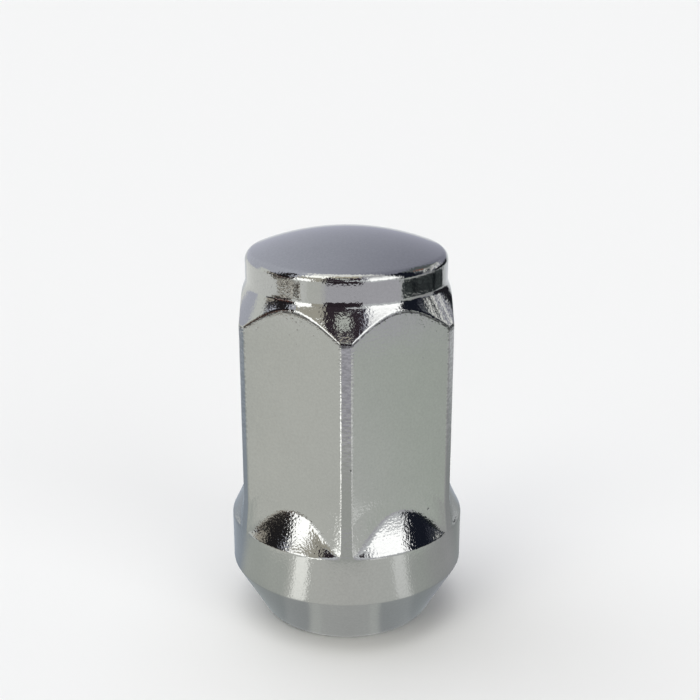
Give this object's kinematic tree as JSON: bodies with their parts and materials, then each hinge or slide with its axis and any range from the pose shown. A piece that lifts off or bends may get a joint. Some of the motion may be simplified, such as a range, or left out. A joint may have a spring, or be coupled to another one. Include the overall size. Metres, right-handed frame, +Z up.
{
  "type": "lug nut",
  "caption": "Closed-end wheel lug nut with a domed end, a hexagon with chamfered corners, a round bulge, a 60 degree conical seat and a blind threaded bore.",
  "frame": {"origin": "centre of the open end's flat face, which the nut stands on", "axes": "+Z up along the nut's axis to the domed end; one corner of the hexagon points to -Y and one pair of flats faces +X and -X"},
  "size_m": [0.022, 0.022, 0.037],
  "materials": {
    "chrome": "bright nickel and chrome plating over a forged surface, with a fine grain"
  },
  "bodies": {
    "root": {"lug_nut": "chrome"}
  },
  "joints": []
}
